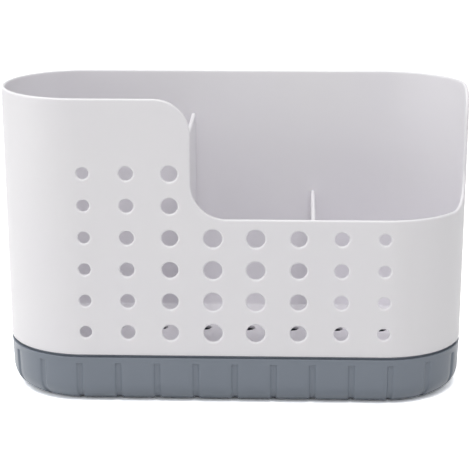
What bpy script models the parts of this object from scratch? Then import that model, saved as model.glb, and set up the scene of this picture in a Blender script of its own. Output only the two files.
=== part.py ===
"""Cutlery holder: a white perforated tub with two lift-out dividers, standing in a grooved drip tray.

The worktop is z = 0. x runs along the holder, and the perforated front with its cut-out faces -y.
The tub is modelled in its own frame, whose z = 0 is the underside of its wall.
"""

import math

import bmesh
import bpy
from mathutils import Matrix, Vector

MM = 0.001

# Whole holder
LENGTH = 200 * MM  # outside, at the rim
DEPTH = 70 * MM  # outside, and the diameter of both round ends
CLEARANCE = 0.3 * MM  # gap between pieces that touch
OVERRUN = 3 * MM  # how far a cutter runs past what it cuts
END_FLATS = 23  # flats round each half-round end
CORNER_FLATS = 10  # flats in a quarter turn of an outline's corner
RIM_FLATS = 2  # flats in the small rounding of a moulded edge
SAME_POINT = 0.004 * MM  # points closer than this are joined
SHARP_ANGLE = 60  # degrees an edge turns by at least, to be rounded
SMOOTH_ANGLE = 35  # degrees up to which an edge is shaded smooth
FLAT_ANGLE = 1  # degrees up to which faces are taken as one plane

# Tub
RIM_HEIGHT = 110.7 * MM  # tall wall, from the underside of the wall
LOW_RIM_HEIGHT = 60 * MM  # low front wall, from the same level
WALL = 1.6 * MM  # walls and floor
END_DRAFT = 1.2 * MM  # how far each end leans in from the rim to the floor
EDGE_ROUND = 0.4 * MM  # rounding of the rim and of the other moulded edges
CUT_CORNER = 15 * MM  # both corners of the cut-out, at the front and at the end
CUT_LEAD = 0.1 * MM  # how far above the rim the cut-out's upper corners start
CUT_EDGE_X_SHARE = -0.0865  # upright edge of the cut-out in the front wall, of the length
END_CUT_Y_SHARE = -0.0657  # upright edge of the cut-out on the right end, of the depth

# Skirt under the tub's floor, which centres it in the tray
SKIRT_HEIGHT = 5 * MM
SKIRT_THICKNESS = 1.4 * MM
SKIRT_PLAY = 0.6 * MM  # between the skirt and the tray's wall, at the tray's rim

# Round holes of the front wall, smaller towards the ends of each row
HOLE_COLUMNS = 8
HOLE_ROWS = 6
HOLE_PITCH_X_SHARE = 0.09  # of the length
HOLE_PITCH_Z_SHARE = 0.23  # of the low rim's height
HOLE_FIRST_Z_SHARE = 0.1717  # middle of the lowest row, of the low rim's height
HOLE_FIELD_X = 0.9 * MM  # middle of the hole field
HOLE_MOUTH = 9.1 * MM  # diameter at the wall's face, in the two middle columns
HOLE_MOUTH_STEP = 0.93 * MM  # how much smaller the mouth is in each column further out
HOLE_CHAMFER = 0.55 * MM
HOLE_MARGIN = 1.5 * MM  # least wall between a hole and the cut-out
HOLE_FLATS = 18

# Drain holes of the floor
DRAIN_COLUMNS = 8
DRAIN_ROWS = 3
DRAIN_PITCH_X_SHARE = 0.0965  # of the length
DRAIN_PITCH_Y_SHARE = 0.2857  # of the depth
DRAIN_FIELD = (-4.6 * MM, 0)  # middle of the drain holes, across the holder
DRAIN_DIAMETER = 7.5 * MM
DRAIN_FLATS = 16

# Dividers and the short guide ribs that hold them upright
DIVIDER_THICKNESS = 1.8 * MM
TALL_DIVIDER_X_SHARE = -0.098  # of the length
TALL_DIVIDER_DROP = 19.2 * MM  # its top edge below the rim
LOW_DIVIDER_X_SHARE = 0.17  # of the length
LOW_DIVIDER_DROP = 3.8 * MM  # its top edge below the low rim
GUIDE_HEIGHT_SHARE = 0.6  # of the low rim's height
GUIDE_REACH = 2.4 * MM
GUIDE_THICKNESS = 1 * MM

# Drip tray
TRAY_HEIGHT = 21.5 * MM
TRAY_WALL = 2 * MM
TRAY_DRAFT = 0.9 * MM  # how far the wall leans in all round, from the rim to the underside
TRAY_EDGE_RADIUS = 9.3 * MM  # rounded lower edge
TRAY_EDGE_FLATS = 6
GROOVES_PER_SIDE = 9
GROOVES_PER_END = 5
GROOVE_PITCH_SHARE = 0.08275  # along the straight sides, of the length
GROOVE_SHIFT = 1 * MM  # how far the ring of grooves is turned along the outside
GROOVE_DEPTH = 0.55 * MM
GROOVE_WIDTH = 3.4 * MM
GROOVE_DROP = 3.2 * MM  # smooth band between the tray's rim and the grooves
GROOVE_END_ANGLE = 80  # degrees round the lower edge at which a groove stops
GROOVE_SKIN = 0.05 * MM  # the cutter's sides start this far outside the tray

# Places and sizes that follow from those
END_RADIUS = DEPTH / 2
FLOOR_LENGTH = LENGTH - 2 * END_DRAFT  # the tub's outside length at its foot
TUB_Z = TRAY_HEIGHT + CLEARANCE
INNER_DEPTH = DEPTH - 2 * WALL
CUT_EDGE_X = CUT_EDGE_X_SHARE * LENGTH
END_CUT_Y = END_CUT_Y_SHARE * DEPTH
HOLE_PITCH_X = HOLE_PITCH_X_SHARE * LENGTH
HOLE_PITCH_Z = HOLE_PITCH_Z_SHARE * LOW_RIM_HEIGHT
HOLE_FIRST_Z = HOLE_FIRST_Z_SHARE * LOW_RIM_HEIGHT
DRAIN_PITCH_X = DRAIN_PITCH_X_SHARE * LENGTH
DRAIN_PITCH_Y = DRAIN_PITCH_Y_SHARE * DEPTH
TALL_DIVIDER_X = TALL_DIVIDER_X_SHARE * LENGTH
LOW_DIVIDER_X = LOW_DIVIDER_X_SHARE * LENGTH
GUIDE_HEIGHT = GUIDE_HEIGHT_SHARE * LOW_RIM_HEIGHT
GROOVE_PITCH = GROOVE_PITCH_SHARE * LENGTH
DRAIN_RADIUS = DRAIN_DIAMETER / 2
DIVIDER_PLACES = (TALL_DIVIDER_X, LOW_DIVIDER_X)

WHITE_PP = (0.80, 0.80, 0.82, 1.0)
GREY_PP = (0.205, 0.235, 0.280, 1.0)
MATT = 0.42


def start_empty():
    """Remove the objects of the open scene and make the collections for the pieces and the cutters."""
    for old in list(bpy.data.objects):
        bpy.data.objects.remove(old)
    for name in ("cutlery_holder", "cutters"):
        collection = bpy.data.collections.new(name)
        bpy.context.scene.collection.children.link(collection)


def plastic(name, colour):
    """Moulded polypropylene of one colour."""
    material = bpy.data.materials.new(name)
    material.use_nodes = True
    shader = material.node_tree.nodes["Principled BSDF"]
    shader.inputs["Base Color"].default_value = colour
    shader.inputs["Roughness"].default_value = MATT
    shader.inputs["Metallic"].default_value = 0.0
    material.diffuse_color = colour
    return material


def add_object(name, data, collection="cutters"):
    """Link new data as an object. What only cuts or joins is drawn as wire and left out of renders."""
    made = bpy.data.objects.new(name, data)
    bpy.data.collections[collection].objects.link(made)
    if collection == "cutters":
        made.hide_render = True
        made.display_type = "WIRE"
    return made


def evaluated_mesh(source):
    """The object's mesh with its modifiers or its curve settings carried out."""
    graph = bpy.context.evaluated_depsgraph_get()
    return bpy.data.meshes.new_from_object(source.evaluated_get(graph))


def arc(centre, radius, start, end, flats):
    """Points on an arc between two angles in degrees, both ends included."""
    points = []
    for step in range(flats + 1):
        angle = math.radians(start + (end - start) * step / flats)
        points.append((centre[0] + radius * math.cos(angle), centre[1] + radius * math.sin(angle)))
    return points


def stadium(length, depth):
    """Outline with straight long sides and half-round ends, anticlockwise from above."""
    radius = depth / 2
    centre_x = length / 2 - radius
    right = arc((centre_x, 0), radius, -90, 90, END_FLATS)
    left = arc((-centre_x, 0), radius, 90, 270, END_FLATS)
    return right + left


def extruded(name, outline, height, caps="BOTH", flank=0.0):
    """Mesh object of an outline extruded upwards from z = 0. A flank widens its middle at 45 degrees."""
    curve = bpy.data.curves.new(name + "_outline", "CURVE")
    curve.dimensions = "2D"
    curve.fill_mode = caps
    curve.extrude = height / 2 - flank
    curve.bevel_depth = flank
    curve.bevel_resolution = 0
    spline = curve.splines.new("POLY")
    spline.points.add(len(outline) - 1)
    spline.use_cyclic_u = True
    for point, (x, y) in zip(spline.points, outline):
        point.co = (x, y, 0, 1)
    drawn = add_object(name + "_outline", curve)
    mesh = evaluated_mesh(drawn)
    bpy.data.objects.remove(drawn)
    mesh.transform(Matrix.Translation((0, 0, height / 2)))
    weld(mesh)
    return add_object(name, mesh)


def weld(mesh):
    """Join points that lie together, and flat neighbouring faces into one face."""
    work = bmesh.new()
    work.from_mesh(mesh)
    bmesh.ops.remove_doubles(work, verts=work.verts, dist=SAME_POINT)
    flat = math.radians(FLAT_ANGLE)
    bmesh.ops.dissolve_limit(work, angle_limit=flat, verts=work.verts, edges=work.edges)
    bmesh.ops.recalc_face_normals(work, faces=work.faces)
    work.to_mesh(mesh)
    work.free()


def lean_in(mesh, length, depth, end_draft, side_draft):
    """Draw the foot of an extruded stadium in, at its ends and all round."""
    radius = depth / 2
    shrink = (radius - side_draft) / radius
    for vertex in mesh.vertices:
        if vertex.co.z < SAME_POINT:
            side = math.copysign(1, vertex.co.x)
            centre_x = side * (length / 2 - radius)
            across = (vertex.co.x - centre_x) * shrink
            vertex.co.x = centre_x - side * end_draft + across
            vertex.co.y = vertex.co.y * shrink


def box(name, size, centre):
    """Rectangular block."""
    mesh = bpy.data.meshes.new(name)
    work = bmesh.new()
    bmesh.ops.create_cube(work, size=1.0, matrix=Matrix.Diagonal(Vector(size)).to_4x4())
    work.to_mesh(mesh)
    work.free()
    block = add_object(name, mesh)
    block.location = centre
    return block


def solidify(target, thickness):
    """Give an open surface its wall, on the inside."""
    wall = target.modifiers.new("wall", "SOLIDIFY")
    wall.thickness = thickness
    wall.offset = -1.0
    wall.use_even_offset = True


def round_edges(target, width, flats):
    """Round every sharp edge."""
    rounding = target.modifiers.new("rounded_edges", "BEVEL")
    rounding.width = width
    rounding.segments = flats
    rounding.use_clamp_overlap = False
    rounding.limit_method = "ANGLE"
    rounding.angle_limit = math.radians(SHARP_ANGLE)


def combine(target, operation, tools):
    """Cut a list of tools out of the target, or join them to it, in one Boolean."""
    group = bpy.data.collections.new(target.name + "_" + operation.lower())
    bpy.data.collections["cutters"].children.link(group)
    for tool in tools:
        bpy.data.collections["cutters"].objects.unlink(tool)
        group.objects.link(tool)
    boolean = target.modifiers.new(operation.lower(), "BOOLEAN")
    boolean.operation = operation
    boolean.operand_type = "COLLECTION"
    boolean.collection = group
    boolean.solver = "EXACT"
    welding = target.modifiers.new("welded", "WELD")
    welding.merge_threshold = SAME_POINT


def finished(name, source, material):
    """Piece made of the source with its modifiers carried out, shaded smooth over its round faces."""
    mesh = evaluated_mesh(source)
    mesh.name = name
    mesh.materials.clear()
    mesh.materials.append(material)
    mesh.shade_smooth()
    mesh.set_sharp_from_angle(angle=math.radians(SMOOTH_ANGLE))
    return add_object(name, mesh, "cutlery_holder")


def cut_out():
    """Cutter for the low front: what lies both right of the front edge and before the end edge."""
    top = RIM_HEIGHT + OVERRUN
    corner = CUT_CORNER
    upper = RIM_HEIGHT + CUT_LEAD - corner
    front = arc((CUT_EDGE_X - corner, upper), corner, 90, 0, CORNER_FLATS)
    front += arc((CUT_EDGE_X + corner, LOW_RIM_HEIGHT + corner), corner, 180, 270, CORNER_FLATS)
    front += [(LENGTH / 2 + OVERRUN, LOW_RIM_HEIGHT), (LENGTH / 2 + OVERRUN, top), (CUT_EDGE_X - corner, top)]
    width = DEPTH + 2 * OVERRUN
    across = extruded("front_profile", front, width)
    across.data.transform(Matrix.Translation((0, width / 2, 0)) @ Matrix.Rotation(math.radians(90), 4, "X"))

    end = arc((END_CUT_Y + corner, upper), corner, 90, 180, CORNER_FLATS)
    end += arc((END_CUT_Y - corner, LOW_RIM_HEIGHT + corner), corner, 0, -90, CORNER_FLATS)
    end += [(-DEPTH / 2 - OVERRUN, LOW_RIM_HEIGHT), (-DEPTH / 2 - OVERRUN, top), (END_CUT_Y + corner, top)]
    length = LENGTH + 2 * OVERRUN
    along = extruded("end_profile", end, length)
    turn = Matrix.Rotation(math.radians(90), 4, "Z") @ Matrix.Rotation(math.radians(90), 4, "X")
    along.data.transform(Matrix.Translation((-length / 2, 0, 0)) @ turn)
    combine(across, "INTERSECT", [along])
    common = evaluated_mesh(across)
    weld(common)
    return add_object("cut_out", common)


def front_hole(name, mouth):
    """Turned cutter for one hole: the bore and the chamfer at its mouth, which opens at z = 0."""
    bore = mouth / 2 - HOLE_CHAMFER
    profile = (
        (0, OVERRUN),
        (mouth / 2 + OVERRUN, OVERRUN),
        (bore, -HOLE_CHAMFER),
        (bore, -WALL - OVERRUN),
        (0, -WALL - OVERRUN),
    )
    mesh = bpy.data.meshes.new(name)
    steps = range(len(profile) - 1)
    mesh.from_pydata([(x, 0, z) for x, z in profile], [(step, step + 1) for step in steps], [])
    cutter = add_object(name, mesh)
    turning = cutter.modifiers.new("turned", "SCREW")
    turning.steps = HOLE_FLATS
    turning.render_steps = HOLE_FLATS
    turning.use_merge_vertices = True
    turning.merge_threshold = SAME_POINT
    return cutter


def front_holes():
    """The rows of holes, each left out where the cut-out leaves no wall for it."""
    cutters = []
    middle = (HOLE_COLUMNS - 1) / 2
    for column in range(HOLE_COLUMNS):
        steps_out = abs(column - middle) - 0.5
        mouth = HOLE_MOUTH - HOLE_MOUTH_STEP * steps_out
        x = HOLE_FIELD_X + (column - middle) * HOLE_PITCH_X
        keep_off = mouth / 2 + HOLE_MARGIN
        for row in range(HOLE_ROWS):
            z = HOLE_FIRST_Z + row * HOLE_PITCH_Z
            if z + keep_off > LOW_RIM_HEIGHT and x + keep_off > CUT_EDGE_X:
                continue
            cutter = front_hole(f"hole_{column}_{row}", mouth)
            cutter.location = (x, -DEPTH / 2, z)
            cutter.rotation_euler = (math.radians(90), 0, 0)
            cutters.append(cutter)
    return cutters


def drain_holes():
    """The rows of drain holes, which the dividers stand between."""
    cutters = []
    for column in range(DRAIN_COLUMNS):
        x = DRAIN_FIELD[0] + (column - (DRAIN_COLUMNS - 1) / 2) * DRAIN_PITCH_X
        for row in range(DRAIN_ROWS):
            y = DRAIN_FIELD[1] + (row - (DRAIN_ROWS - 1) / 2) * DRAIN_PITCH_Y
            mesh = bpy.data.meshes.new(f"drain_{column}_{row}")
            work = bmesh.new()
            bmesh.ops.create_cone(
                work, cap_ends=True, segments=DRAIN_FLATS, radius1=DRAIN_RADIUS, radius2=DRAIN_RADIUS,
                depth=WALL + 2 * OVERRUN,
            )
            work.to_mesh(mesh)
            work.free()
            cutter = add_object(mesh.name, mesh)
            cutter.location = (x, y, WALL / 2)
            cutters.append(cutter)
    return cutters


def guide_ribs():
    """Pairs of upright ribs on the front and back walls, with a slot for each divider between them."""
    ribs = []
    slot = DIVIDER_THICKNESS + 2 * CLEARANCE
    size = (GUIDE_THICKNESS, GUIDE_REACH + WALL / 2, GUIDE_HEIGHT + WALL / 2)
    for place in DIVIDER_PLACES:
        for wall_side in (-1, 1):
            y = wall_side * (INNER_DEPTH / 2 + WALL / 2 - size[1] / 2)
            for slot_side in (-1, 1):
                x = place + slot_side * (slot + GUIDE_THICKNESS) / 2
                ribs.append(box(f"rib_{len(ribs)}", size, (x, y, WALL / 2 + size[2] / 2)))
    return ribs


def skirt():
    """Ring under the floor, which reaches into the tray and half way up into the floor."""
    inset = TRAY_WALL + SKIRT_PLAY
    outline = stadium(FLOOR_LENGTH - 2 * inset, DEPTH - 2 * inset)
    ring = extruded("skirt", outline, SKIRT_HEIGHT + WALL / 2, caps="NONE")
    ring.location.z = -SKIRT_HEIGHT
    solidify(ring, SKIRT_THICKNESS)
    return ring


def make_tub(material):
    """White tub: one wall and floor, cut low at the front right, with its skirt, ribs and holes."""
    shell = extruded("tub_shell", stadium(LENGTH, DEPTH), RIM_HEIGHT, caps="BACK")
    lean_in(shell.data, LENGTH, DEPTH, END_DRAFT, 0)
    solidify(shell, WALL)
    round_edges(shell, EDGE_ROUND, RIM_FLATS)
    combine(shell, "DIFFERENCE", [cut_out()])
    combine(shell, "UNION", [skirt()] + guide_ribs())
    combine(shell, "DIFFERENCE", front_holes() + drain_holes())
    tub = finished("holder_tub", shell, material)
    tub.location.z = TUB_Z
    return tub


def make_divider(name, place, top, tub, material):
    """Plain upright plate across the tub, from its floor to a rounded top edge."""
    foot = WALL + CLEARANCE
    height = top - foot
    blank = box(name + "_blank", (DIVIDER_THICKNESS, INNER_DEPTH - 2 * CLEARANCE, height), (0, 0, 0))
    blank.data.transform(Matrix.Translation((0, 0, height / 2)))
    round_edges(blank, EDGE_ROUND, RIM_FLATS)
    plate = finished(name, blank, material)
    plate.parent = tub
    plate.location = (place, 0, foot)
    return plate


def tray_section():
    """Half-round lower edge of the tray's section: its centre, radius and first angle, and its width.

    The section is drawn with x outwards from the rim's outside and y up. The wall leans in by the
    draft, so the arc that meets both it and the underside turns a little more than a quarter.
    """
    lean = math.atan(TRAY_DRAFT / TRAY_HEIGHT)
    width = TRAY_EDGE_RADIUS / math.tan(math.radians(45) + lean / 2)
    centre = (-TRAY_DRAFT - width, TRAY_EDGE_RADIUS)
    return centre, -math.degrees(lean), width


def groove_cutters():
    """Bars that follow the tray's section, one for each groove, evenly spaced round the outside."""
    centre, first_angle, _ = tray_section()
    flank = GROOVE_DEPTH + GROOVE_SKIN
    top = TRAY_HEIGHT - GROOVE_DROP - flank
    edge = arc(centre, TRAY_EDGE_RADIUS + GROOVE_SKIN, first_angle, -GROOVE_END_ANGLE, TRAY_EDGE_FLATS)
    lean_at_top = TRAY_DRAFT * (TRAY_HEIGHT - top) / TRAY_HEIGHT
    inner = [(GROOVE_SKIN - lean_at_top, top)] + edge
    outline = inner + [(inner[-1][0], -OVERRUN), (OVERRUN, -OVERRUN), (OVERRUN, top)]
    bar = extruded("groove", outline, GROOVE_WIDTH, flank=flank)
    pattern = bar.data
    pattern.transform(Matrix.Translation((0, 0, -GROOVE_WIDTH / 2)))
    bpy.data.objects.remove(bar)

    straight = FLOOR_LENGTH / 2 - END_RADIUS
    last_on_side = GROOVE_PITCH * (GROOVES_PER_SIDE - 1) / 2
    half_girth = 2 * straight + math.pi * END_RADIUS
    end_pitch = (half_girth - 2 * last_on_side) / (GROOVES_PER_END + 1)
    distances = [GROOVE_PITCH * index - last_on_side for index in range(GROOVES_PER_SIDE)]
    distances += [last_on_side + end_pitch * (index + 1) for index in range(GROOVES_PER_END)]
    cutters = []
    for half_turn in (0, 1):
        for distance in distances:
            cutter = add_object("groove", pattern)
            place_on_girth(cutter, distance + GROOVE_SHIFT, straight, half_turn)
            cutters.append(cutter)
    return cutters


def place_on_girth(cutter, distance, straight, half_turn):
    """Stand a cutter on the outside, at a distance along it from the middle of the front or back."""
    past_straight = max(abs(distance) - straight, 0)
    swing = math.copysign(past_straight / END_RADIUS, distance)
    x = max(min(distance, straight), -straight) + END_RADIUS * math.sin(swing)
    y = -END_RADIUS * math.cos(swing)
    turn = Matrix.Rotation(math.pi * half_turn, 4, "Z")
    stand = Matrix.Rotation(swing - math.radians(90), 4, "Z") @ Matrix.Rotation(math.radians(90), 4, "X")
    cutter.matrix_world = turn @ Matrix.Translation((x, y, 0)) @ stand


def make_tray(material):
    """Grey drip tray: a shallow pan with a large rounded lower edge and grooves down its outside."""
    _, _, width = tray_section()
    shell = extruded("tray_shell", stadium(FLOOR_LENGTH, DEPTH), TRAY_HEIGHT, caps="BACK")
    lean_in(shell.data, FLOOR_LENGTH, DEPTH, 0, TRAY_DRAFT)
    round_edges(shell, width, TRAY_EDGE_FLATS)
    solidify(shell, TRAY_WALL)
    level_size = (LENGTH + OVERRUN, DEPTH + OVERRUN, OVERRUN)
    combine(shell, "DIFFERENCE", [box("level", level_size, (0, 0, TRAY_HEIGHT + OVERRUN / 2))])
    round_edges(shell, EDGE_ROUND, RIM_FLATS)
    combine(shell, "DIFFERENCE", groove_cutters())
    return finished("drip_tray", shell, material)


start_empty()
white = plastic("white_polypropylene", WHITE_PP)
grey = plastic("grey_polypropylene", GREY_PP)
make_tray(grey)
holder_tub = make_tub(white)
make_divider("tall_divider", TALL_DIVIDER_X, RIM_HEIGHT - TALL_DIVIDER_DROP, holder_tub, white)
make_divider("low_divider", LOW_DIVIDER_X, LOW_RIM_HEIGHT - LOW_DIVIDER_DROP, holder_tub, white)
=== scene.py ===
"""Looks of the cutlery holder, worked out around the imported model.

The sections follow the holder as it is put together: drip tray, tub, dividers, then the studio.
x runs along the holder, the perforated front faces -y, and the worktop is z = 0.
"""

import math

import bmesh
import bpy
import numpy as np
from mathutils import Matrix, Vector


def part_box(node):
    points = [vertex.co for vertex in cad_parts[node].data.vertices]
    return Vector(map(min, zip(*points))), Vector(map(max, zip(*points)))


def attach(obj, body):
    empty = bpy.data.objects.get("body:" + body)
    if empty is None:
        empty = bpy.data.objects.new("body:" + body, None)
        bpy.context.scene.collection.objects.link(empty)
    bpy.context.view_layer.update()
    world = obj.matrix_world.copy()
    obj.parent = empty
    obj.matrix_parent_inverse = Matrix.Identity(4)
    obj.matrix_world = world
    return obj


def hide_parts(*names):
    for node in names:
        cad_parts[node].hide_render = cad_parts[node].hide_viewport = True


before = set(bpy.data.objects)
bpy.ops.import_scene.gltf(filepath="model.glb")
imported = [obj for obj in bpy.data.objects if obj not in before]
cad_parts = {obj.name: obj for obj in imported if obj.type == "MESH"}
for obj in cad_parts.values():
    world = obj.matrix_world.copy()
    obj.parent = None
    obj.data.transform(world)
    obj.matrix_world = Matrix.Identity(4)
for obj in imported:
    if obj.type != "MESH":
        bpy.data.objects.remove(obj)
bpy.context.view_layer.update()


# Drip tray
# A shallow grey pan, injection moulded in polypropylene with a fine matt texture from the mould.
# It stands on the worktop. A ring of upright grooves runs down its wall and under its lower edge.
MM = 0.001
SAME_POINT = 0.004 * MM  # points closer than this are one point of the moulding
SHARP_ANGLE = math.radians(40)  # edges that turn more than this are shaded as edges
tray_low, tray_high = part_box("drip_tray")
END_RADIUS = (tray_high.y - tray_low.y) / 2
TRAY_STRAIGHT = (tray_high.x - tray_low.x) / 2 - END_RADIUS  # half of each straight side
TRAY_HEIGHT = tray_high.z
TRAY_WALL = 2 * MM
TRAY_DRAFT = 0.9 * MM  # how far the wall leans in, from the rim to the underside
TRAY_EDGE_RADIUS = 9.3 * MM
TRAY_RIM_ROUND = 0.35 * MM
RIM_STEP = 0.8 * MM  # the outer part of the rim lies this much lower, which leaves a shadow line
RIM_STEP_DEPTH = 1.6 * MM  # how far in from the outside that part reaches
INSIDE_TOP_DROP = 3 * MM  # from the rim down to where the inside of the wall begins to lean
INSIDE_TOP_LEAN = 0.1  # share of the draft that the inside has there
GROOVES_PER_SIDE = 9
GROOVES_PER_END = 5
GROOVE_PITCH = 16.55 * MM
GROOVE_SHIFT = 1 * MM  # how far along the outside the whole ring of grooves is moved
GROOVE_DEPTH = 0.7 * MM
GROOVE_HALF_FLOOR = 0.7 * MM  # from the middle of a groove to the foot of its flank
GROOVE_HALF_WIDTH = 1.7 * MM  # from the middle of a groove to the top of its flank
GROOVE_TOP = TRAY_HEIGHT - 3.2 * MM
GROOVE_TOP_FADE = 0.6 * MM  # height over which a groove comes to its full depth
GROOVE_END = math.radians(88)  # how far round the lower edge the grooves run
GROOVE_END_FADE = math.radians(8)  # turn of the lower edge over which a groove loses its depth
FLANK_STEPS = 6  # faces across a groove's flank, and across the wall from groove to groove
EDGE_STEPS = 14  # faces round the lower edge
GREY_LIGHT = "#7D8590"
GREY_DARK = "#78808B"
POLYPROPYLENE_IOR = 1.49
CLOUD_SIZE = 40 * MM
PATCH_SIZE = 7 * MM
PATCH_SPREAD = 0.03  # how far the patches shift the roughness up and down
GRAIN_SIZE = 0.35 * MM
GRAIN_DEPTH = 0.02 * MM
GRAIN_STRENGTH = 0.25


def on_outline(distance, straight, inset):
    """x and y at a distance along a round-ended outline, measured from the middle of its front.

    The outline turns into itself after half a girth, so the back is the front turned half round.
    Within each half the distance is first spent on the straight side. What is left over, divided by
    the end's radius, is the angle that the point has swung round the end. The inset shortens that radius.
    """
    quarter = straight + END_RADIUS * np.pi / 2
    halves = np.round(distance / (2 * quarter))
    local = distance - halves * 2 * quarter
    swing = np.sign(local) * np.maximum(np.abs(local) - straight, 0) / END_RADIUS
    x = np.clip(local, -straight, straight) + (END_RADIUS - inset) * np.sin(swing)
    y = -(END_RADIUS - inset) * np.cos(swing)
    side = 1 - 2 * np.mod(halves, 2)
    return x * side, y * side


def smooth_step(share):
    """0 below 0 and 1 above 1, with the level curve 3t^2 - 2t^3 in between."""
    held = np.clip(share, 0, 1)
    return held * held * (3 - 2 * held)


def quarter_round(radius, steps):
    """Quarter circle that rounds an edge, as (distance from the edge's top, depth under its face)."""
    turn = np.linspace(0, np.pi / 2, steps + 1)
    return radius * (1 - np.sin(turn)), radius * (1 - np.cos(turn))


def sewn(name, sheets):
    """Mesh object of several sheets, each a grid of points with x, y and z last.

    Neighbouring points of a grid make its faces. Sheets share the points of their edges, so joining
    the points that lie together closes the surface, and the faces are then turned outwards.
    """
    corners, faces, first = [], [], 0
    for sheet in sheets:
        rows, columns, _ = sheet.shape
        number = first + np.arange(rows * columns).reshape(rows, columns)
        ring = (number[:-1, :-1], number[1:, :-1], number[1:, 1:], number[:-1, 1:])
        faces.append(np.stack(ring, axis=-1).reshape(-1, 4))
        corners.append(sheet.reshape(-1, 3))
        first += rows * columns
    mesh = bpy.data.meshes.new(name)
    mesh.from_pydata(np.vstack(corners), [], np.vstack(faces).tolist())
    work = bmesh.new()
    work.from_mesh(mesh)
    bmesh.ops.remove_doubles(work, verts=work.verts, dist=SAME_POINT)
    bmesh.ops.recalc_face_normals(work, faces=work.faces)
    work.to_mesh(mesh)
    work.free()
    mesh.shade_smooth()
    mesh.set_sharp_from_angle(angle=SHARP_ANGLE)
    made = bpy.data.objects.new(name, mesh)
    bpy.context.scene.collection.objects.link(made)
    return made


def groove_middles():
    """Distances of the grooves' middles along the outline, from one groove to the same groove again."""
    half_girth = 2 * TRAY_STRAIGHT + np.pi * END_RADIUS
    on_side = GROOVE_PITCH * (np.arange(GROOVES_PER_SIDE) - (GROOVES_PER_SIDE - 1) / 2)
    end_pitch = (half_girth - 2 * on_side[-1]) / (GROOVES_PER_END + 1)
    on_end = on_side[-1] + end_pitch * np.arange(1, GROOVES_PER_END + 1)
    half = np.concatenate([on_side, on_end]) + GROOVE_SHIFT
    return np.concatenate([half, half + half_girth, half[:1] + 2 * half_girth])


def tray_stations(middles):
    """Distances at which the tray's section is drawn, close together on the flanks of the grooves."""
    flank = np.linspace(GROOVE_HALF_FLOOR, GROOVE_HALF_WIDTH, FLANK_STEPS + 1)
    near = np.concatenate([[0], flank])
    gap = np.diff(middles)[:, None]
    between = near[-1] + (gap - 2 * near[-1]) * np.linspace(0, 1, FLANK_STEPS + 1)[1:-1]
    steps = np.hstack([near + 0 * gap, between, gap - near[:0:-1]])
    return np.append((middles[:-1, None] + steps).ravel(), middles[-1])


def tray_section():
    """Section of the tray from the middle of its underside, round the wall, to the middle of its floor.

    Each row is inset, height, inward direction (inset, height) and share of the grooves' depth.
    The lower edge is an arc that meets both the leaning wall and the underside. The rim is a lower
    ledge outside and a higher one inside. The inside of the arc is the outside moved inwards by the
    wall.
    """
    lean = math.atan(TRAY_DRAFT / TRAY_HEIGHT)
    width = TRAY_EDGE_RADIUS / math.tan(math.radians(45) + lean / 2)
    centre = np.array([TRAY_DRAFT + width, TRAY_EDGE_RADIUS])
    turn = np.linspace(math.radians(90), lean, EDGE_STEPS + 1)
    way_in = np.stack([np.cos(turn), np.sin(turn)], axis=1)
    arc = centre - TRAY_EDGE_RADIUS * way_in
    arc_share = smooth_step((GROOVE_END - turn) / GROOVE_END_FADE)

    # Rows of points lie close together where the grooves come to their depth.
    heights = np.concatenate([
        np.linspace(arc[-1, 1], GROOVE_TOP - 1 * MM, 5)[1:],
        GROOVE_TOP + GROOVE_TOP_FADE * np.linspace(-1.25, 0.5, 8),
        [TRAY_HEIGHT - RIM_STEP - 1.5 * TRAY_RIM_ROUND],
    ])
    wall = np.stack([TRAY_DRAFT * (1 - heights / TRAY_HEIGHT), heights], axis=1)
    wall_share = smooth_step((GROOVE_TOP - heights) / GROOVE_TOP_FADE)
    outside = np.vstack([[END_RADIUS, 0], [END_RADIUS / 2, 0], arc, wall])
    directions = np.vstack([[0, 1], [0, 1], way_in, np.repeat(way_in[-1:], len(wall), axis=0)])
    shares = np.concatenate([[0, 0], arc_share, wall_share])

    drop, depth = quarter_round(TRAY_RIM_ROUND, steps=4)
    ledge = np.stack([depth, TRAY_HEIGHT - RIM_STEP - drop], axis=1)
    step_foot = [RIM_STEP_DEPTH, TRAY_HEIGHT - RIM_STEP]
    rim_outer = np.stack([RIM_STEP_DEPTH + depth / 2, TRAY_HEIGHT - drop / 2], axis=1)
    rim_inner = np.stack([TRAY_WALL - depth[::-1] / 2, TRAY_HEIGHT - drop[::-1] / 2], axis=1)
    rim = np.vstack([ledge, step_foot, rim_outer, rim_inner])
    arc_inside = centre - (TRAY_EDGE_RADIUS - TRAY_WALL) * way_in
    wall_top = [TRAY_WALL + TRAY_DRAFT * INSIDE_TOP_LEAN, TRAY_HEIGHT - INSIDE_TOP_DROP]
    inside = np.vstack([wall_top, arc_inside[::-1], [END_RADIUS / 2, TRAY_WALL], [END_RADIUS, TRAY_WALL]])
    plain = np.vstack([rim, inside])
    rows = np.vstack([outside, plain])
    directions = np.vstack([directions, np.zeros_like(plain)])
    return np.column_stack([rows, directions, np.append(shares, np.zeros(len(plain)))])


def tray_surface():
    """The section carried round the outline, pushed in by the depth of the grooves.

    The depth at a point is the groove depth, times the share its height gives, times a smooth step
    of its distance from the nearest groove's middle.
    """
    middles = groove_middles()
    stations = tray_stations(middles)
    off_middle = np.abs(stations[:, None] - middles[None, :]).min(axis=1)
    flank = (GROOVE_HALF_WIDTH - off_middle) / (GROOVE_HALF_WIDTH - GROOVE_HALF_FLOOR)
    across = smooth_step(flank)[:, None]
    inset, height, in_x, in_z, share = (column[None, :] for column in tray_section().T)
    push = GROOVE_DEPTH * across * share
    x, y = on_outline(stations[:, None], TRAY_STRAIGHT, inset + push * in_x)
    return np.stack([x, y, height + push * in_z], axis=-1)


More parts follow.
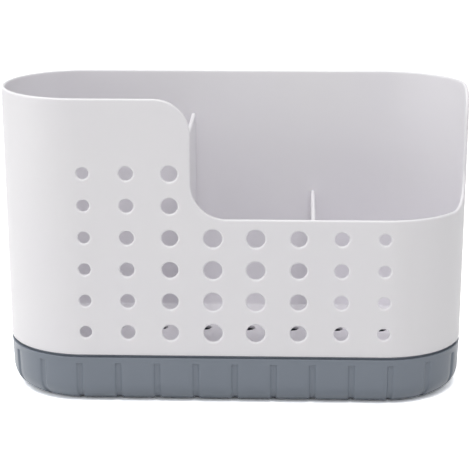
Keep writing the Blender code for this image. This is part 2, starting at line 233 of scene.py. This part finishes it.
def to_linear(hex_colour):
    """Linear red, green, blue and alpha of an sRGB colour written as #RRGGBB."""
    shares = [int(hex_colour[start:start + 2], 16) / 255 for start in (1, 3, 5)]
    return [c / 12.92 if c <= 0.04045 else ((c + 0.055) / 1.055) ** 2.4 for c in shares] + [1.0]


def add_node(material, kind, inputs=(), **settings):
    """Node of one kind with its settings. Each input is a value, or the socket that feeds it."""
    tree = material.node_tree
    made = tree.nodes.new(kind)
    for name, value in settings.items():
        setattr(made, name, value)
    for name, value in dict(inputs).items():
        if isinstance(value, bpy.types.NodeSocket):
            tree.links.new(value, made.inputs[name])
        else:
            made.inputs[name].default_value = value
    return made


def polypropylene(name, light, dark, roughness, glow_depth):
    """Injection-moulded polypropylene: a waxy satin skin over a slightly translucent body.

    Clouds some 40 mm across shift the colour a little, as pigment does in a moulding. Patches of
    about 7 mm make the gloss uneven, as handling does. Grains 0.35 mm apart roughen the skin, as the
    spark-eroded mould leaves them. Real ones are finer, but would not show.
    """
    material = bpy.data.materials.new(name)
    material.use_nodes = True
    shader = material.node_tree.nodes["Principled BSDF"]
    shader.inputs["IOR"].default_value = POLYPROPYLENE_IOR
    shader.inputs["Metallic"].default_value = 0.0
    shader.inputs["Subsurface Weight"].default_value = 1.0 if glow_depth else 0.0
    shader.inputs["Subsurface Radius"].default_value = (1.0, 1.0, 1.0)
    shader.inputs["Subsurface Scale"].default_value = glow_depth
    place = add_node(material, "ShaderNodeTexCoord").outputs["Object"]
    clouds, patches, grain = (
        add_node(material, "ShaderNodeTexNoise", {"Vector": place, "Scale": 1 / size, "Detail": detail})
        for size, detail in ((CLOUD_SIZE, 3.0), (PATCH_SIZE, 4.0), (GRAIN_SIZE, 2.0))
    )
    tint = add_node(
        material, "ShaderNodeMix", {"Factor": clouds.outputs["Fac"]}, data_type="RGBA", blend_type="MIX"
    )
    colour_sockets = [socket for socket in tint.inputs if socket.type == "RGBA"]
    colour_sockets[0].default_value = to_linear(dark)
    colour_sockets[1].default_value = to_linear(light)
    mixed = next(socket for socket in tint.outputs if socket.type == "RGBA")
    low, high = roughness - PATCH_SPREAD, roughness + PATCH_SPREAD
    gloss = add_node(
        material, "ShaderNodeMapRange", {"Value": patches.outputs["Fac"], "To Min": low, "To Max": high}
    )
    skin = add_node(
        material, "ShaderNodeBump",
        {"Height": grain.outputs["Fac"], "Strength": GRAIN_STRENGTH, "Distance": GRAIN_DEPTH},
    )
    tree = material.node_tree
    tree.links.new(mixed, shader.inputs["Base Color"])
    tree.links.new(gloss.outputs["Result"], shader.inputs["Roughness"])
    tree.links.new(skin.outputs["Normal"], shader.inputs["Normal"])
    return material


grey = polypropylene("grey_polypropylene_satin", GREY_LIGHT, GREY_DARK, roughness=0.30, glow_depth=0)
drip_tray = sewn("tray_moulding", [tray_surface()])
drip_tray.data.materials.append(grey)
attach(drip_tray, "tray")
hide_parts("drip_tray")


# Holder tub
# One white polypropylene moulding: floor, wall with full round ends, low front, skirt and ribs.
# Holes for the front and drain holes for the floor come out of the mould with it. It stands on the
# tray's rim by its own weight, centred by the skirt.
tub_low, tub_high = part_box("holder_tub")
SKIRT_HEIGHT = 5 * MM
TUB_Z = tub_low.z + SKIRT_HEIGHT  # underside of the wall
RIM_HEIGHT = tub_high.z - TUB_Z
RIM_STRAIGHT = (tub_high.x - tub_low.x) / 2 - END_RADIUS
LOW_RIM_HEIGHT = 60 * MM
WALL = 1.6 * MM
END_DRAFT = 1.2 * MM  # how far each end leans in, from the rim to the foot
CUT_CORNER = 15 * MM  # radius of the cut-out's corners
CUT_EDGE_X = -17.3 * MM  # upright edge of the cut-out in the front
END_CUT_Y = -4.6 * MM  # upright edge of the cut-out in the right end
RIM_ROUND = 0.75 * MM
BAND = 1 * MM  # strip of wall that follows the rim
FOOT_ROUND = 0.8 * MM
FLOOR_FILLET = 0.8 * MM
SKIRT_INSET = 2.6 * MM
SKIRT_THICKNESS = 1.4 * MM
SKIRT_ROUND = 0.3 * MM

HOLE_COLUMNS = 8
LOW_ROWS = 4  # rows of holes that run along the whole front
HIGH_ROWS = 2  # rows above them, left of the cut-out
HIGH_COLUMNS = 3
HOLE_PITCH = (18 * MM, 13.8 * MM)
HOLE_FIRST = (-62.1 * MM, 10.3 * MM)  # x and height of the lowest hole at the left
HOLE_MOUTH = 9.4 * MM  # diameter of the mouths in the two middle columns
HOLE_MOUTH_STEP = 0.93 * MM  # how much smaller they get from one column to the next one out
HOLE_EDGE = 0.75 * MM  # rounding of the mouth
HOLE_BACK_EDGE = 0.25 * MM  # rounding on the inside of the wall
HOLE_LIP = 0.25 * MM  # flat ring of faces round a hole, which keeps the wall's shading even

DRAIN_COLUMNS = 8
DRAIN_ROWS = 3
DRAIN_PITCH = (19.3 * MM, 20 * MM)
DRAIN_FIRST = (-72.15 * MM, -20 * MM)  # x and y of the front one at the left
DRAIN_DIAMETER = 7.5 * MM
DRAIN_EDGE = 0.3 * MM
DRAIN_MARGIN = 6 * MM  # from the outer drain holes' middles to the edge of their field

SIDE = 12  # faces along one side of the square that each hole sits in
SQUARE_BLEND = (0, 0.4, 0.75)  # rows of points, as shares of the way from the square to the hole
FIELD_MARGIN = 5.5 * MM  # from the outer front holes' middles to the edge of their field
LEVEL_STEP = 1.4 * MM  # height of the faces beside the highest row of holes
BACK_REACH = 70 * MM  # half the stretch of the back that has the front's number of faces


def on_tub(distance, height, inset):
    """Point on the tub's wall, at a distance along the rim's outline and a height, inset from outside.

    The wall's ends lean in towards the foot. That shortens the straight sides, and each quarter of the
    outline with them; it is taken up beyond the field of holes, which stays where it is.
    """
    lean = END_DRAFT * (1 - np.clip(height / RIM_HEIGHT, 0, 1))
    quarter = RIM_STRAIGHT + END_RADIUS * np.pi / 2
    halves = np.round(distance / (2 * quarter))
    local = distance - halves * 2 * quarter
    beyond = np.maximum(np.abs(local) - BACK_REACH, 0) / (quarter - BACK_REACH)
    local = local - np.sign(local) * lean * beyond
    x, y = on_outline(halves * 2 * (quarter - lean) + local, RIM_STRAIGHT - lean, inset)
    return np.stack(np.broadcast_arrays(x, y, TUB_Z + height), axis=-1)


def field_lines(first, pitch, count, margin):
    """Lines between the holes of a row, half way from hole to hole, and a margin beyond the outer two."""
    middles = first + pitch * np.arange(count)
    return np.concatenate([[middles[0] - margin], middles[:-1] + pitch / 2, [middles[-1] + margin]])


def divided(lines, counts):
    """Positions that divide each stretch between two lines into a number of equal steps."""
    knots = np.concatenate([[0], np.cumsum(counts)])
    return np.interp(np.arange(knots[-1] + 1), knots, lines)


def end_distance(y):
    """Distance along the outline of the point of the right end that has this y."""
    return RIM_STRAIGHT + END_RADIUS * (np.pi / 2 + np.arcsin(y / END_RADIUS))


GIRTH = 4 * RIM_STRAIGHT + 2 * np.pi * END_RADIUS
hole_lines = field_lines(HOLE_FIRST[0], HOLE_PITCH[0], HOLE_COLUMNS, FIELD_MARGIN)
hole_lines[HIGH_COLUMNS] = CUT_EDGE_X - BAND
COLUMN_CUT = HIGH_COLUMNS * SIDE  # the column of points that runs up beside the cut-out's front edge
COLUMN_RIGHT = HOLE_COLUMNS * SIDE  # the last column of the field of holes
COLUMN_END_CUT = COLUMN_RIGHT + DRAIN_ROWS * SIDE // 2  # beside the cut-out's edge on the right end
COLUMN_BACK = COLUMN_RIGHT + DRAIN_ROWS * SIDE
COLUMN_LEFT = COLUMN_BACK + HOLE_COLUMNS * SIDE
columns = divided(
    np.concatenate([
        hole_lines,
        [end_distance(END_CUT_Y + BAND), GIRTH / 2 - BACK_REACH, GIRTH / 2 + BACK_REACH],
        [GIRTH + hole_lines[0]],
    ]),
    [SIDE] * HOLE_COLUMNS + [
        COLUMN_END_CUT - COLUMN_RIGHT, COLUMN_BACK - COLUMN_END_CUT, COLUMN_LEFT - COLUMN_BACK,
        DRAIN_ROWS * SIDE,
    ],
)
corner_top = LOW_RIM_HEIGHT + CUT_CORNER
STEPS_TO_CORNER = 2  # steps of the highest row of squares that lie beside the cut-out's lower corner
LEVEL_LOW = LOW_ROWS * SIDE
LEVEL_CORNER = LEVEL_LOW + SIDE + STEPS_TO_CORNER
LEVEL_TOP = (LOW_ROWS + HIGH_ROWS) * SIDE
levels = divided(
    np.concatenate([
        HOLE_FIRST[1] + HOLE_PITCH[1] * (np.arange(LOW_ROWS + 1) - 0.5),
        [corner_top - STEPS_TO_CORNER * LEVEL_STEP, corner_top + (SIDE - STEPS_TO_CORNER) * LEVEL_STEP],
    ]),
    [SIDE] * (LOW_ROWS + HIGH_ROWS),
)


def holed_square(left, right, bottom, top, centre, radii, depths):
    """Square of a plate with a round hole through it, as across, up and depth under the front.

    Points go round the square's edge and round the hole alike, from the lower left corner, and each
    side of the square goes with a quarter of the hole. The face blends from the one to the other.
    Then come the hole's radii and depths, from the front to the back, and the back face, which
    mirrors the front.
    """
    corner = np.arange(5) * SIDE
    number = np.arange(4 * SIDE + 1)
    edge_u = np.interp(number, corner, [left, right, right, left, left])
    edge_v = np.interp(number, corner, [bottom, bottom, top, top, bottom])
    turn = np.radians(90 * number / SIDE - 135)
    round_u = centre[0] + np.outer(radii, np.cos(turn))
    round_v = centre[1] + np.outer(radii, np.sin(turn))
    share = np.array(SQUARE_BLEND)[:, None]
    across = [edge_u * (1 - share) + round_u[:1] * share, round_u]
    across.append((edge_u * (1 - share) + round_u[-1:] * share)[::-1])
    up = [edge_v * (1 - share) + round_v[:1] * share, round_v]
    up.append((edge_v * (1 - share) + round_v[-1:] * share)[::-1])
    depth = np.pad(depths, len(SQUARE_BLEND), mode="edge")[:, None]
    return np.vstack(across), np.vstack(up), depth


def hole_profile(bore, front_edge, back_edge):
    """Radii and depths through a wall at a round hole: flat lip, rounded mouth, bore, rounded back."""
    out, into = quarter_round(front_edge, steps=5)
    back_out, back_into = quarter_round(back_edge, steps=2)
    lip = bore + front_edge + HOLE_LIP
    radii = np.concatenate([[lip], bore + out, bore + back_out[::-1], [lip]])
    depths = np.concatenate([[0], into, WALL - back_into[::-1], [WALL]])
    return radii, depths


def front_squares():
    """The squares of wall that hold the front holes, smaller ones towards the ends of each row."""
    sheets = []
    for row in range(LOW_ROWS + HIGH_ROWS):
        for column in range(HOLE_COLUMNS if row < LOW_ROWS else HIGH_COLUMNS):
            steps_out = abs(column - (HOLE_COLUMNS - 1) / 2) - 0.5
            bore = (HOLE_MOUTH - HOLE_MOUTH_STEP * steps_out) / 2 - HOLE_EDGE
            centre = (HOLE_FIRST[0] + column * HOLE_PITCH[0], HOLE_FIRST[1] + row * HOLE_PITCH[1])
            bounds = (
                columns[column * SIDE], columns[(column + 1) * SIDE],
                levels[row * SIDE], levels[(row + 1) * SIDE],
            )
            radii, depths = hole_profile(bore, HOLE_EDGE, HOLE_BACK_EDGE)
            sheets.append(on_tub(*holed_square(*bounds, centre, radii, depths)))
    return sheets


def arc(centre, radius, start, end, steps):
    """Points on an arc between two angles in degrees."""
    turn = np.radians(np.linspace(start, end, steps + 1))
    return centre[0] + radius * np.cos(turn), centre[1] + radius * np.sin(turn)


def joined(*stretches):
    """One line of points from stretches that each start where the last one ended."""
    pieces = [np.stack(np.broadcast_arrays(*stretch)) for stretch in stretches]
    return np.hstack([pieces[0]] + [piece[:, 1:] for piece in pieces[1:]])


END_FLAT = 8  # columns of the low rim beside the end corner, which its line takes over
TALL_END = 42  # columns of the tall rim that the end corner's line takes over
TALL_CUT = 24  # the same at the front corner
UPPER_STEPS = 10  # steps round each upper corner of the cut-out
FLAT_STEPS = 2  # steps from each lower corner's arc to the columns of the low rim


def rim_stretches(depth):
    """Stretches of a line that runs round the wall at a depth under its edge, as distance and height.

    In order: low rim, lower end corner, end edge, tall rim with both upper corners, front edge and
    lower front corner. A corner that rounds the wall off has its radius less the depth, and one that
    rounds the cut-out has its radius plus the depth.
    """
    low, tall = LOW_RIM_HEIGHT - depth, RIM_HEIGHT - depth
    inner, outer = CUT_CORNER - depth, CUT_CORNER + depth
    lower, upper = LOW_RIM_HEIGHT + CUT_CORNER, RIM_HEIGHT - CUT_CORNER
    first = COLUMN_CUT + SIDE
    last = COLUMN_END_CUT - END_FLAT
    low_rim = joined((columns[first:last + 1], low))

    end_steps = END_FLAT + LEVEL_CORNER - LEVEL_LOW - FLAT_STEPS
    y, z = arc((END_CUT_Y - CUT_CORNER, lower), outer, -90, 0, end_steps)
    low_flat = np.linspace(columns[last], end_distance(y[0]), FLAT_STEPS + 1)
    end_corner = joined((low_flat, low), (end_distance(y), z))

    edge = end_distance(END_CUT_Y + depth)
    end_edge = joined((edge, levels[LEVEL_CORNER:LEVEL_TOP + 1]))

    y, z = arc((END_CUT_Y + CUT_CORNER, upper), inner, 180, 90, UPPER_STEPS)
    tall_from = COLUMN_END_CUT + TALL_END
    tall_to = len(columns) - 1 + COLUMN_CUT - TALL_CUT
    end_flat = np.linspace(end_distance(y[-1]), columns[tall_from], TALL_END - UPPER_STEPS)
    middle = np.append(columns, GIRTH + columns[1:COLUMN_CUT])[tall_from:tall_to + 1]
    cut = GIRTH + CUT_EDGE_X
    x, height = arc((cut - CUT_CORNER, upper), inner, 90, 0, UPPER_STEPS)
    cut_flat = np.linspace(middle[-1], x[0], TALL_CUT - UPPER_STEPS)
    tall_rim = joined(
        (edge, np.array([levels[LEVEL_TOP], upper])), (end_distance(y), z), (end_flat, tall),
        (middle, tall), (cut_flat, tall), (x, height),
        (cut - depth, np.array([upper, levels[LEVEL_TOP]])),
    )
    front_edge = joined((cut - depth, levels[LEVEL_TOP:LEVEL_CORNER - 1:-1]))
    front_steps = SIDE + LEVEL_CORNER - LEVEL_LOW - FLAT_STEPS
    x, height = arc((cut + CUT_CORNER, lower), outer, 180, 270, front_steps)
    front_flat = np.linspace(x[-1], GIRTH + columns[first], FLAT_STEPS + 1)
    front_corner = joined((x, height), (front_flat, low))
    return low_rim, end_corner, end_edge, tall_rim, front_edge, front_corner


def between(start, end, inset, steps):
    """Sheet of wall ruled from one line of points to another, both as distance and height."""
    share = np.linspace(0, 1, steps + 1)[:, None]
    distance = start[0] * (1 - share) + end[0] * share
    height = start[1] * (1 - share) + end[1] * share
    return on_tub(distance, height, inset)


def wall_face(inset):
    """Sheets of one face of the wall that have no holes, from the field's foot up to the rim's band."""
    low_rim, end_corner, _, tall_rim, _, front_corner = rim_stretches(BAND)
    all_round = np.append(columns, GIRTH + columns[1:COLUMN_CUT + 1])
    first, last = COLUMN_CUT + SIDE, COLUMN_END_CUT - END_FLAT
    up_cut = levels[LEVEL_LOW:LEVEL_CORNER + 1]
    under_low = joined((columns[first:last + 1], levels[LEVEL_LOW]))
    beside_end = joined(
        (columns[last:COLUMN_END_CUT + 1], levels[LEVEL_LOW]), (columns[COLUMN_END_CUT], up_cut)
    )
    beside_cut = joined(
        (all_round[len(columns) - 1 + COLUMN_CUT], up_cut[::-1]),
        (GIRTH + columns[COLUMN_CUT:first + 1], levels[LEVEL_LOW]),
    )
    under_tall = joined((all_round[COLUMN_END_CUT:], levels[LEVEL_TOP]))
    return [
        on_tub(columns[COLUMN_RIGHT:], levels[:LEVEL_LOW + 1, None], inset),
        on_tub(columns[COLUMN_END_CUT:], levels[LEVEL_LOW:, None], inset),
        between(under_low, low_rim, inset, steps=1),
        between(beside_end, end_corner, inset, steps=3),
        between(beside_cut, front_corner, inset, steps=3),
        between(under_tall, tall_rim, inset, steps=8),
    ]


def rim_band():
    """The rounded edge of the wall: a half-round profile carried along the rim's line."""
    drop, depth = quarter_round(RIM_ROUND, steps=5)
    drops = np.concatenate([[BAND], drop, drop[::-1], [BAND]])
    insets = np.concatenate([[0], depth, WALL - depth[::-1], [WALL]])
    rows = []
    for under_edge, inset in zip(drops, insets):
        distance, height = joined(*rim_stretches(under_edge))
        rows.append(on_tub(distance, height, inset))
    return np.stack(rows)


def floor_sheets():
    """Floor with its drain holes, and the ring round it: foot, underside and skirt, and inner fillet.

    The ring's rows follow the wall's columns, and its last three blend into the edge of the field of
    drain holes, which has as many points.
    """
    lines_x = field_lines(DRAIN_FIRST[0], DRAIN_PITCH[0], DRAIN_COLUMNS, DRAIN_MARGIN)
    lines_y = field_lines(DRAIN_FIRST[1], DRAIN_PITCH[1], DRAIN_ROWS, DRAIN_MARGIN)
    along = divided(lines_x, [SIDE] * DRAIN_COLUMNS)
    across = divided(lines_y, [SIDE] * DRAIN_ROWS)
    field_x, field_y = joined(
        (along, lines_y[0]), (lines_x[-1], across), (along[::-1], lines_y[-1]), (lines_x[0], across[::-1])
    )
    sheets = []
    radii, depths = hole_profile(DRAIN_DIAMETER / 2, DRAIN_EDGE, DRAIN_EDGE)
    for column in range(DRAIN_COLUMNS):
        for row in range(DRAIN_ROWS):
            bounds = (*lines_x[column:column + 2], *lines_y[row:row + 2])
            centre = (DRAIN_FIRST[0] + column * DRAIN_PITCH[0], DRAIN_FIRST[1] + row * DRAIN_PITCH[1])
            x, y, depth = holed_square(*bounds, centre, radii, depths)
            sheets.append(np.stack(np.broadcast_arrays(x, y, TUB_Z + WALL - depth), axis=-1))

    rise, depth = quarter_round(FOOT_ROUND, steps=3)
    skirt_rise, skirt_depth = quarter_round(SKIRT_ROUND, steps=3)
    skirt_back = SKIRT_INSET + SKIRT_THICKNESS
    under_insets = np.concatenate([
        [0], depth, [SKIRT_INSET], SKIRT_INSET + skirt_depth, skirt_back - skirt_depth[::-1], [skirt_back]
    ])
    under_heights = np.concatenate([
        [levels[0]], rise, [0], skirt_rise - SKIRT_HEIGHT, skirt_rise[::-1] - SKIRT_HEIGHT, [0]
    ])
    fillet_in, fillet_up = quarter_round(FLOOR_FILLET, steps=3)
    top_insets = WALL + np.concatenate([[0], fillet_up])
    top_heights = np.concatenate([[levels[0]], WALL + fillet_in])
    for insets, heights, level in ((under_insets, under_heights, 0), (top_insets, top_heights, WALL)):
        ring = on_tub(columns, heights[:, None], insets[:, None])
        field = np.stack(np.broadcast_arrays(field_x, field_y, TUB_Z + level), axis=-1)
        share = np.linspace(0, 1, 4)[1:, None, None]
        sheets.append(np.concatenate([ring, ring[-1] * (1 - share) + field * share]))
    return sheets


def rounded_block(low, high, edge):
    """Block between two corners with every edge rounded, as one closed sheet.

    It is what a ball of the edge's radius covers as its middle moves over a smaller block. A point is
    a corner of that smaller block plus the radius times a direction, and the directions go round in
    quarter turns and up from the bottom to the top. The first and last rows shut the ends.
    """
    low, high = np.array(low), np.array(high)
    middle = (low + high) / 2
    core = (high - low) / 2 - edge
    quarter = np.linspace(0, 90, 5)  # degrees, at the points on each rounded edge
    quarters = np.repeat(np.arange(4), len(quarter))
    turn = np.append(np.radians(90 * quarters + np.tile(quarter, 4)), 0)
    sign_x = np.append(np.array([1, -1, -1, 1])[quarters], 1)
    sign_y = np.append(np.array([1, 1, -1, -1])[quarters], 1)
    rise = np.radians(np.concatenate([quarter - 90, quarter]))[:, None]
    top = np.repeat([-1, 1], len(quarter))[:, None]
    x = sign_x * core[0] + edge * np.cos(rise) * np.cos(turn)
    y = sign_y * core[1] + edge * np.cos(rise) * np.sin(turn)
    z = np.broadcast_to(top * core[2] + edge * np.sin(rise), x.shape)
    sheet = np.stack([x, y, z], axis=-1)
    ends = np.zeros((2, 1, sheet.shape[1], 3))
    ends[0, ..., 2], ends[1, ..., 2] = z.min(), z.max()
    return middle + np.concatenate([ends[0], sheet, ends[1]])


TALL_DIVIDER_X = sum(corner.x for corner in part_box("tall_divider")) / 2
LOW_DIVIDER_X = sum(corner.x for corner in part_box("low_divider")) / 2
DIVIDER_SLOT = 2.4 * MM
RIB_HEIGHT = 36 * MM
RIB_REACH = 2.4 * MM
RIB_THICKNESS = 1 * MM
RIB_ROUND = 0.3 * MM


def guide_ribs():
    """Pairs of upright ribs on the front and back walls, one pair on each side of each divider."""
    sheets = []
    sunk = WALL / 2  # how far a rib's block reaches into the wall and the floor
    for place in (TALL_DIVIDER_X, LOW_DIVIDER_X):
        for wall_side in (-1, 1):
            for slot_side in (-1, 1):
                near = place + slot_side * DIVIDER_SLOT / 2
                x = sorted([near, near + slot_side * RIB_THICKNESS])
                face = END_RADIUS - WALL
                y = sorted([wall_side * (face + sunk), wall_side * (face - RIB_REACH)])
                z = (TUB_Z + WALL - sunk, TUB_Z + WALL + RIB_HEIGHT)
                sheets.append(rounded_block((x[0], y[0], z[0]), (x[1], y[1], z[1]), RIB_ROUND))
    return sheets


def joined_to(target, addition):
    """Join a second closed shape to the target's mesh, so that both are one skin."""
    union = target.modifiers.new("one_moulding", "BOOLEAN")
    union.operation = "UNION"
    union.solver = "EXACT"
    union.object = addition
    graph = bpy.context.evaluated_depsgraph_get()
    mesh = bpy.data.meshes.new_from_object(target.evaluated_get(graph))
    target.modifiers.remove(union)
    target.data = mesh
    mesh.shade_smooth()
    mesh.set_sharp_from_angle(angle=SHARP_ANGLE)
    bpy.data.objects.remove(addition)


WHITE_LIGHT = "#F6F4F9"
WHITE_DARK = "#F3F1F6"
WHITE_GLOW = 0.6 * MM  # how far light gets under the skin
white = polypropylene(
    "white_polypropylene_satin", WHITE_LIGHT, WHITE_DARK, roughness=0.40, glow_depth=WHITE_GLOW
)
tub = sewn("tub_moulding", front_squares() + wall_face(0) + wall_face(WALL) + [rim_band()] + floor_sheets())
joined_to(tub, sewn("ribs", guide_ribs()))
tub.data.materials.clear()
tub.data.materials.append(white)
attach(tub, "holder")
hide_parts("holder_tub")


# Dividers
# Two flat white plates, moulded on their own with softly rounded edges. Each drops between the
# ribs of the tub, the tall one at the end of the high front and the low one in the right part.
DIVIDER_ROUND = 0.8 * MM
for node, body in (("tall_divider", "tall_partition"), ("low_divider", "low_partition")):
    divider = sewn(node + "_plate", [rounded_block(*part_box(node), DIVIDER_ROUND)])
    divider.data.materials.append(white)
    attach(divider, body)
    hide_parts(node)


# Studio
# A pale floor that looks white to the camera but keeps the holder's shadow, soft lamps above the
# front and high and low at the left, and even light from all round.
FLOOR_WIDTH = 6.0
FLOOR_PALE = "#E6E6E6"
FLOOR_SEEN = 2.8  # how many times its light the floor shows to the camera, as if overexposed
FLOOR_MIRRORED = 1.7  # the same in reflections on the holder
AMBIENT = 0.43  # light from all round, where 1 is the white that the camera sees


def by_ray(owner, plain, mirrored, seen):
    """Level that is plain for light on the holder, and another where it is mirrored or seen."""
    path = add_node(owner, "ShaderNodeLightPath")
    level = plain
    for kind, other in (("Is Glossy Ray", mirrored), ("Is Transmission Ray", seen), ("Is Camera Ray", seen)):
        step = add_node(
            owner, "ShaderNodeMapRange", {"Value": path.outputs[kind], "To Min": level, "To Max": other}
        )
        level = step.outputs["Result"]
    return level


def pale_floor():
    """Matt floor that lights the holder as a pale one does, and looks overexposed."""
    material = bpy.data.materials.new("pale_matt_floor")
    material.use_nodes = True
    tree = material.node_tree
    tree.nodes.remove(tree.nodes["Principled BSDF"])
    shade = by_ray(material, to_linear(FLOOR_PALE)[0], FLOOR_MIRRORED, FLOOR_SEEN)
    matt = add_node(material, "ShaderNodeBsdfDiffuse", {"Color": shade})
    tree.links.new(matt.outputs["BSDF"], tree.nodes["Material Output"].inputs["Surface"])
    return material


corner = FLOOR_WIDTH / 2
floor_mesh = bpy.data.meshes.new("floor")
floor_points = [(-corner, -corner, 0), (corner, -corner, 0), (corner, corner, 0), (-corner, corner, 0)]
floor_mesh.from_pydata(floor_points, [], [(0, 1, 2, 3)])
floor_mesh.materials.append(pale_floor())
floor = bpy.data.objects.new("floor", floor_mesh)
bpy.context.scene.collection.objects.link(floor)

world = bpy.data.worlds.new("even_light")
bpy.context.scene.world = world
world.use_nodes = True
background = world.node_tree.nodes["Background"]
background.inputs["Color"].default_value = (1, 1, 1, 1)
world.node_tree.links.new(by_ray(world, AMBIENT, 1.0, 1.0), background.inputs["Strength"])


LAMP_AIM = Vector((0, 0, 65 * MM))


def soft_lamp(name, place, width, watts):
    """Square area lamp at a place, turned to the middle of the holder."""
    lamp = bpy.data.lights.new(name, "AREA")
    lamp.size = width
    lamp.energy = watts
    made = bpy.data.objects.new(name, lamp)
    made.location = place
    made.rotation_euler = (LAMP_AIM - Vector(place)).to_track_quat("-Z", "Y").to_euler()
    bpy.context.scene.collection.objects.link(made)


soft_lamp("front_softbox", place=(0.1, -0.5, 1), width=0.45, watts=3.3)
soft_lamp("left_softbox", place=(-1.1, -0.3, 0.22), width=0.5, watts=1.8)
soft_lamp("high_left_softbox", place=(-0.6, 0, 1), width=0.45, watts=3.6)

# The camera looks a little down on the front, from just right of its middle.
SENSOR_WIDTH = 36
LENS = 137.4
CAMERA_PLACE = Vector((27.3, -754.8, 272.3)) * MM
YAW = math.radians(2.073)
PITCH = math.radians(15.294)
ROLL = math.radians(-0.078)
camera_data = bpy.data.cameras.new("camera")
camera_data.sensor_width = SENSOR_WIDTH
camera_data.lens = LENS
camera = bpy.data.objects.new("camera", camera_data)
camera.matrix_world = (
    Matrix.Translation(CAMERA_PLACE)
    @ Matrix.Rotation(YAW, 4, "Z")
    @ Matrix.Rotation(math.radians(90) - PITCH, 4, "X")
    @ Matrix.Rotation(ROLL, 4, "Z")
)
bpy.context.scene.collection.objects.link(camera)
bpy.context.scene.camera = camera
bpy.context.scene.view_settings.view_transform = "Standard"
